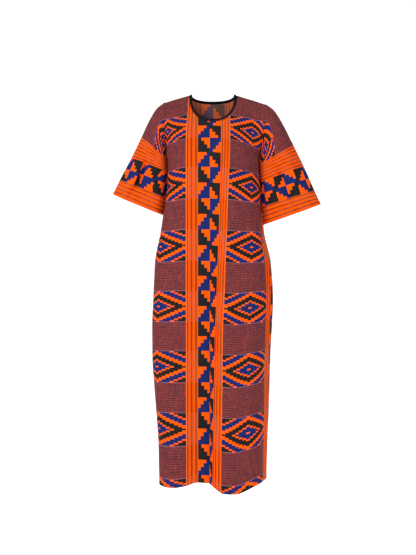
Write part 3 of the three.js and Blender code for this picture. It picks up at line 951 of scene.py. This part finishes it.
# --------------------------------------
# Sleeves. Wide elbow sleeves of the same cotton with the print turned to run down the arm, so
# its stripes and kente border go round. Each is one piece, seamed under the arm and set into
# the armhole, with a narrow turned cuff hem.
# --------------------------------------
ARMHOLE_GAP = 0.5
SLEEVE_NAMES = ("reach", "out_x", "out_z", "in_x", "in_z", "front", "back")
# Sections down each sleeve. The last four are where the upper stripes, the kente border and the
# cuff stripes start, and the cuff
SLEEVES = {
    "right": [
        (27, -192, -45, -157.5, -211, 60, 55),
        (72, -217, -84, -155.5, -218, 63, 58),
        (142, -247, -148, -154.5, -229, 65, 60),
        (220, -282, -219, -152.5, -270, 63, 57),
        (306, -321, -294, -160, -358, 57, 51),
        (361, -345, -343, -170.5, -415, 52, 46),
    ],
    "left": [
        (28, 208, -51, 157.5, -222, 60, 55),
        (73, 233, -88, 156, -231, 63, 58),
        (171, 278, -176, 155.5, -247, 66, 60),
        (250, 313, -247, 158, -306, 64, 57),
        (342, 350, -331, 163.5, -389, 58, 51),
        (394, 372, -377, 170.5, -449, 53, 46),
    ],
}
UPPER_STRIPES = 0.078
BORDER = 0.086
CUFF_STRIPES = 0.054
# How far round from the outer edge the reddish band goes before the diamonds, at the armhole
# and at the upper stripes, and where the first black cell of the border starts
REDDISH_WIDE = {"right": (92, 107), "left": (92, 122)}
BORDER_START = {"right": -33, "left": 46}
# A deep fold down the front of each sleeve, from one place to another (round and along the
# sleeve), with half width and height
SLEEVE_TUCK = {"right": (92, -186, 86, -390, 6, -18), "left": (126, -205, 120, -420, 6, -11)}
CUFF_TURN = 12
# Broad folds down the sleeve: degrees round from the outer edge, half width, height out of the
# cloth, and the shares of the length where each starts and is full
SLEEVE_FOLDS = [
    (62, 15, 3.5, 0.15, 0.8),
    (98, 16, -3.5, 0.1, 0.6),
    (134, 15, 4, 0.15, 0.7),
    (226, 17, 4, 0.15, 0.7),
    (266, 17, -3.5, 0.1, 0.7),
    (306, 16, 3.5, 0.2, 0.8),
]
# Creases: places round and along the sleeve, half width and height
SLEEVE_CREASES = [
    (60, 10, 100, -120, 8, -2.4),
    (84, 6, 128, -150, 8, 2.4),
    (30, -4, 48, -110, 8, 2.0),
    (-70, 8, -110, -140, 9, -2.5),
    (-40, -20, -64, -170, 9, 2.2),
    (76, -180, 84, -330, 9, 2.2),
    (46, -210, 42, -350, 9, -2.0),
    (-84, -190, -90, -340, 10, 2.2),
    (116, -120, 122, -260, 8, -2.2),
]
SLEEVE_ROWS = 96
NEAR_ARMHOLE = (0, 0.004, 0.008)
SLEEVE_ROW_CLOSENESS = 0.7
ARMHOLE_DEPTHS = (56, 52)
# The rings take up the armhole's own line over this share of the sleeve
ARMHOLE_HOLDS = 0.05


def sleeve_grid(side_name):
    """Rings from the armhole to the cuff, opened along the underarm seam. Columns run from the
    underarm round the back, over the outer edge and down the front to the underarm."""
    shoulder_x, shoulder_z = SHOULDER[side_name]
    column = 0 if side_name == "right" else -1
    front_edge = front_grid[:upper_count + 1, column]
    back_edge = back_grid[:upper_count + 1, column]
    angles = np.concatenate([upper_steps, [1.0]]) * math.pi
    armhole = np.concatenate([back_edge[::-1], front_edge[1:]])
    turn = np.concatenate([-angles[::-1], angles[1:]])
    middle = len(angles) - 1
    armhole[middle] = (front_edge[0] + back_edge[0]) / 2
    armhole[:, 0] += math.copysign(ARMHOLE_GAP, shoulder_x)
    under = front_edge[-1]
    first = (0, shoulder_x, shoulder_z, under[0], under[2], *ARMHOLE_DEPTHS)
    table = np.array([first] + SLEEVES[side_name], float)
    last = table[-1, 0]
    steps = np.concatenate([NEAR_ARMHOLE, np.linspace(0, 1, SLEEVE_ROWS + 1)[1:]])
    shares = steps * mix(SLEEVE_ROW_CLOSENESS, 1, steps)
    cuff_lines = 1 - (HEM_LINES + CUFF_TURN - HEM_TURN) / last
    shares = np.sort(np.concatenate([shares, cuff_lines]))
    across = (1 - np.cos(turn)) / 2
    degrees = np.degrees(turn) % 360
    grid = []
    for share in shares:
        at = {name: float(along(table[:, 0], table[:, k], share * last))
              for k, name in enumerate(SLEEVE_NAMES)}
        depth = np.where(np.sin(turn) > 0, at["front"], at["back"])
        ring = np.stack([
            mix(at["out_x"], at["in_x"], across),
            SIDE_SEAM_Y * across - depth * np.sin(turn),
            mix(at["out_z"], at["in_z"], across),
        ], 1)
        centre = np.array([(at["out_x"] + at["in_x"]) / 2, 0, (at["out_z"] + at["in_z"]) / 2])
        raised = np.zeros(len(turn))
        for place, half, height, start, full in SLEEVE_FOLDS:
            grown = ease((share - start) / (full - start))
            raised += height * grown * np.exp(-((degrees - place) / half) ** 2)
        grid.append(ring + unit(ring - centre) * raised[:, None])
    grid = np.array(grid)
    hold = np.clip(1 - shares / ARMHOLE_HOLDS, 0, 1)[:, None, None]
    return grid + (armhole - grid[0])[None] * hold, shares * last, middle


BORDER_STEP = 0.0106
BORDER_CELLS = 8
BORDER_STARTS = 4
# The dark lines in the stripes above and below the border, and where their colour changes
UPPER_LINES = [0.007 + 0.0128 * k for k in range(6)]
CUFF_LINES = [0.004, 0.0175, 0.031, 0.0445]
SLEEVE_LINE_HALF = 0.0041
CHANGES_ACROSS = 30
CHANGES_DOWN = 24
CHANGES_FROM = 0.42
CHANGES_STRENGTH = 8
# Repeats added before the arm's length is cut into diamonds, so that it is never below 0
PANELS_BEFORE = 4


def sleeve_print(tree, across, down):
    """across is the distance along the arm from the start of the upper stripes, and down the
    distance round from the front edge of the reddish band."""
    lines = thin_lines(across, UPPER_LINES, SLEEVE_LINE_HALF)
    cuff_place = across - (UPPER_STRIPES + BORDER)
    lines = lines.most(thin_lines(cuff_place, CUFF_LINES, SLEEVE_LINE_HALF))
    changes = noise(tree, across * CHANGES_ACROSS, down * CHANGES_DOWN)
    changes = ((changes - CHANGES_FROM) * CHANGES_STRENGTH).held()
    stripes = lay(tree, STRIPE_ORANGE, lay(tree, OLIVE, MAUVE, changes), lines)

    border_x = (down / BORDER_STEP + BORDER_STARTS).within(BORDER_CELLS)
    border_y = (across - UPPER_STRIPES) / (BORDER / BORDER_CELLS)
    border = stairs(tree, border_x, border_y)

    in_heather = (down / BAND).floor().within(2).flip()
    panel_place = (across + PANEL * PANELS_BEFORE).within(PANEL)
    diamond = diamonds(tree, panel_place / PANEL, down.within(BAND) / BAND)
    panel = lay(tree, heather(tree, across, down), diamond, in_heather)
    panel = edged(tree, panel, down.within(BAND))

    in_border = (across > UPPER_STRIPES) * (across < UPPER_STRIPES + BORDER)
    in_stripes = across > 0.0
    return lay(tree, panel, lay(tree, stripes, border, in_border), in_stripes)


def distance_round(grid, middle):
    """Distance round each ring from its outer edge, over the cloth."""
    around = reach_over(grid, 1)
    return around - around[:, middle:middle + 1]


# How far the sleeve lies off the side of the body, once this many rows below the armhole
SIDE_CLEAR = 0.8
SIDE_CLEAR_ROWS = 12


def laid_on_side(cloth, side_name):
    """The sleeve pressed flat where it lies against the side of the body."""
    column, sign = (0, -1) if side_name == "right" else (-1, 1)
    seam = front_grid[upper_count:, column]
    side_x = np.interp(-cloth[:, :, 2], -seam[:, 2], seam[:, 0])
    rows = np.arange(len(cloth))
    clear = np.interp(rows, (0, SIDE_CLEAR_ROWS), (ARMHOLE_GAP, SIDE_CLEAR))[:, None]
    pressed = cloth.copy()
    pressed[:, :, 0] = sign * np.maximum(sign * cloth[:, :, 0], sign * side_x + clear)
    return pressed


sleeve_cotton = [
    printed_cotton("sleeve_cotton", sleeve_print),
    printed_cotton("sleeve_cotton_wrong_side", sleeve_print, wrong_side=True),
]
# Flat width and length, and area, of each sleeve
SLEEVE_CUTS = [("right", (0.49, 0.365), 0.126), ("left", (0.53, 0.395), 0.147)]
# The print's own distances along the arm where its bands start, and the stretch over which the
# border takes its own start from the reddish band's
PRINT_STARTS = np.cumsum([0, UPPER_STRIPES, BORDER, CUFF_STRIPES]) / MM
BORDER_TAKES_OVER = (12, 60)
for side_name, flat, area in SLEEVE_CUTS:
    grid, reach, middle = sleeve_grid(side_name)
    starts = [ring[0] for ring in SLEEVES[side_name][-len(PRINT_STARTS):]]
    along_arm = np.interp(reach, (0, *starts), (-starts[0], *PRINT_STARTS))
    along_arm = np.repeat(along_arm[:, None], grid.shape[1], axis=1)
    down_arm = -np.repeat(reach[:, None], grid.shape[1], axis=1)
    facing = 1 if side_name == "right" else -1
    creases = SLEEVE_CREASES + [SLEEVE_TUCK[side_name]]
    round_arm = distance_round(grid, middle)
    cloth = hand_creased(grid, creases, facing, (round_arm, down_arm), CUFF_TURN)
    cloth = laid_on_side(cloth, side_name)
    wide = REDDISH_WIDE[side_name]
    start = np.interp(along_arm, (-starts[0], 0, *BORDER_TAKES_OVER),
                      (*wide, wide[1], BORDER_START[side_name]))
    places = (along_arm * MM, (distance_round(cloth, middle) - start) * MM)
    cuff_row = int(np.argmin(np.abs(reach[-1] - reach - CUFF_TURN)))
    sewn_panel(f"sleeve_cloth_{side_name}", cloth, places, facing, sleeve_cotton,
               f"sleeve_{side_name}",
               f"cuff_stitches_{side_name}", cuff_row, CUFF_TURN)

# --------------------------------------
# Neck binding. A narrow bias strip of black cotton, folded over the raw neck edge of front and
# back and stitched down close to its lower edge. It is joined on one shoulder.
# --------------------------------------
BINDING_STATIONS = 220
# Cross-section of the folded strip: how far past the neck edge, and how far out of the cloth
BINDING_PROFILE = [(-4.2, 0.5), (-2.2, 1.0), (1.0, 1.4), (4.2, 1.5), (6.4, 1.1), (7.3, 0.3),
                   (7.4, -0.8), (6.6, -1.6), (4.2, -1.95), (2.0, -1.9), (0.2, -1.7), (-1.6, -1.5)]


# Its thickness, and how much each turn of the fold puckers, in two waves along the neck
BINDING_THICK = 0.3 * MM
PUCKER_LIFT = 0.12
PUCKERS = ((0.05, 1.9), (0.03, 0.83))
# In front it stands up by this much, from this far back and over this depth
STANDS_UP = 0.65
STANDS_FROM = 12
STANDS_OVER = 40
SMOOTHING_ROUNDS = 14
FRAME_ROW = 4
BINDING_STEP = 2.6
# The stitches lie this far below the neck edge and out of the cloth
BINDING_STITCH_BELOW = 3.0
BINDING_STITCH_OUT = 0.75
# Bias weave: a full wave in metres, its strength, how it has faded, and how rough it is
BIAS_WEAVE = 0.0012
BIAS_STRENGTH = 0.35
FADED_ACROSS = 120
FADED_DOWN = 300
DEEP_BLACK = dye(7, 8, 11)
FADED_BLACK = dye(20, 22, 27)
BLACK_THREAD = dye(9, 9, 11)
BINDING_ROUGH_LEAST = 0.72
BINDING_ROUGH_VARIES = 0.2


def neck_edge(grid, facing, cut):
    """The neck's part of a panel's top edge, and the way out of the cloth just below it."""
    places = column_places(BODY_COLUMNS)
    last = len(places) - 1
    first_column = last - int(np.sum(places <= cut["neck_share"]["right"] + NEARLY)) + 1
    last_column = last + int(np.sum(places <= cut["neck_share"]["left"] + NEARLY))
    out = outward(grid, facing)[FRAME_ROW, first_column:last_column]
    return grid[0, first_column:last_column], out


def black_cotton(name):
    """Black cotton cut on the bias, so that its weave runs slantwise."""
    material, tree, bsdf, across, down = new_cotton(name)
    wave = 2 * math.pi / BIAS_WEAVE
    threads = ((across + down) * wave).math("SINE") * ((across - down) * wave).math("SINE")
    faded = noise(tree, across * FADED_ACROSS, down * FADED_DOWN)
    raise_threads(tree, bsdf, threads, faded, BIAS_STRENGTH)
    feed(tree, bsdf, {"Base Color": lay(tree, DEEP_BLACK, FADED_BLACK, faded),
                      "Roughness": faded * BINDING_ROUGH_VARIES + BINDING_ROUGH_LEAST,
                      "Specular IOR Level": 0.06})
    return material


front_neck, front_stands = neck_edge(front_grid, 1, FRONT_CUT)
back_neck, back_stands = neck_edge(back_grid, -1, BACK_CUT)
neck_loop = np.concatenate([front_neck, back_neck[-2:0:-1], front_neck[:1]])
neck_stands = np.concatenate([front_stands, back_stands[-2:0:-1], front_stands[:1]])
neck_loop[[0, len(front_neck) - 1, -1], 1] = 0
neck_reach = reach_over(neck_loop)
lengths = np.linspace(0, neck_reach[-1], BINDING_STATIONS + 1)
neck_loop, stands = (
    at_reach(values, neck_reach, lengths[:-1]) for values in (neck_loop, neck_stands))
ahead = unit(np.roll(neck_loop, -2, axis=0) - np.roll(neck_loop, 2, axis=0))
for _ in range(SMOOTHING_ROUNDS):
    stands = (np.roll(stands, 1, axis=0) + 2 * stands + np.roll(stands, -1, axis=0)) / 4
inward = unit(np.cross(stands, ahead))
# The binding is cut on the bias and pulled snug, so in front it stands up a little
inward[:, 2] += STANDS_UP * ease((STANDS_FROM - neck_loop[:, 1]) / STANDS_OVER)
inward = unit(inward)
stands = np.cross(ahead, inward)

girth = reach_over(np.array(BINDING_PROFILE))
strip_points, strip_places, strip_faces = [], [], []
for k, point in enumerate(neck_loop):
    pucker = 1 + sum(share * math.sin(k * wave) for share, wave in PUCKERS)
    lift = PUCKER_LIFT * math.sin(k * PUCKERS[0][1])
    for into, out in BINDING_PROFILE:
        place = point + inward[k] * into + stands[k] * (out + lift) * pucker
        strip_points.append((place * MM).tolist())
turns = len(BINDING_PROFILE)
for k in range(BINDING_STATIONS):
    here, after = k * turns, (k + 1) % BINDING_STATIONS * turns
    first, last = lengths[k], lengths[k] + BINDING_STEP
    for m in range(turns - 1):
        strip_faces.append((here + m, here + m + 1, after + m + 1, after + m))
        strip_places += [(first, girth[m]), (first, girth[m + 1]),
                         (last, girth[m + 1]), (last, girth[m])]
binding = made("binding_strip", strip_points, strip_faces, [black_cotton("black_binding_cotton")])
measured(binding, np.array(strip_places, np.float32) * MM)
binding_wall = binding.modifiers.new("wall", "SOLIDIFY")
binding_wall.thickness = BINDING_THICK
binding_wall.offset = 0
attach(binding, "root")
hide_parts("neck_binding")
stitch_line = neck_loop - inward * BINDING_STITCH_BELOW + stands * BINDING_STITCH_OUT
thread_row("binding_stitches", np.concatenate([stitch_line, stitch_line[:1]]),
           np.concatenate([stands, stands[:1]]), BLACK_THREAD, "neck_binding", "binding_cloth")

# --------------------------------------
# Setting: a plain pale floor that curves up into a white backdrop, under broad soft light from
# the front, and the camera level with the middle of the dress, 4.2 m in front of it.
# --------------------------------------
camera_data = bpy.data.cameras.new("camera")
camera_data.lens = 78.94
camera_data.sensor_width = 36
camera = placed("camera", camera_data)
camera.location = (-0.01725, -4.2, -0.630)
camera.rotation_euler = (math.pi / 2, 0, 0)
bpy.context.scene.camera = camera

FLOOR_Z = -1.556
FLOOR_HALF_WIDE = 8
FLOOR_NEAR = -9.0
FLOOR_FAR = 4.6
SWEEP_RADIUS = 1.4
SWEEP_STEPS = 14
BACKDROP_TOP = 8.0
sweep = [(FLOOR_NEAR, 0.0), (FLOOR_FAR, 0.0)]
for turn in np.linspace(0.1, math.pi / 2, SWEEP_STEPS):
    sweep.append((FLOOR_FAR + SWEEP_RADIUS * math.sin(turn), SWEEP_RADIUS * (1 - math.cos(turn))))
sweep.append((FLOOR_FAR + SWEEP_RADIUS, BACKDROP_TOP))
floor_points = [(x, y, FLOOR_Z + height)
                for y, height in sweep for x in (-FLOOR_HALF_WIDE, FLOOR_HALF_WIDE)]
floor_faces = [(2 * k, 2 * k + 1, 2 * k + 3, 2 * k + 2) for k in range(len(sweep) - 1)]
WHITE = (1, 1, 1, 1)
floor_paint, paint_tree, paint = new_material("pale_floor")
feed(paint_tree, paint, {"Base Color": (0.94, 0.94, 0.94, 1), "Roughness": 0.9,
                         "Emission Color": WHITE, "Emission Strength": 0.42})
floor = made("floor", floor_points, floor_faces, [floor_paint])

# Each soft light: its place, width in metres and power in watts, aimed at the dress's middle
AIM_DOWN = 0.65
LIGHTS = [
    ("soft_front", (-1.9, -3.3, 1.5), 1.7, 106),
    ("soft_side", (2.6, -2.4, 0.4), 2.2, 18),
    ("soft_back", (0.0, 2.2, 2.6), 3.0, 60),
]
for name, place, wide, power in LIGHTS:
    light_data = bpy.data.lights.new(name, "AREA")
    light_data.size = wide
    light_data.energy = power
    light = placed(name, light_data)
    light.location = place
    aim = -light.location
    aim.z -= AIM_DOWN
    light.rotation_euler = aim.to_track_quat("-Z", "Y").to_euler()

world = bpy.data.worlds.new("studio")
world.use_nodes = True
background = world.node_tree.nodes["Background"]
feed(world.node_tree, background, {"Color": WHITE, "Strength": 0.42})
bpy.context.scene.world = world
bpy.context.scene.view_settings.view_transform = "Standard"
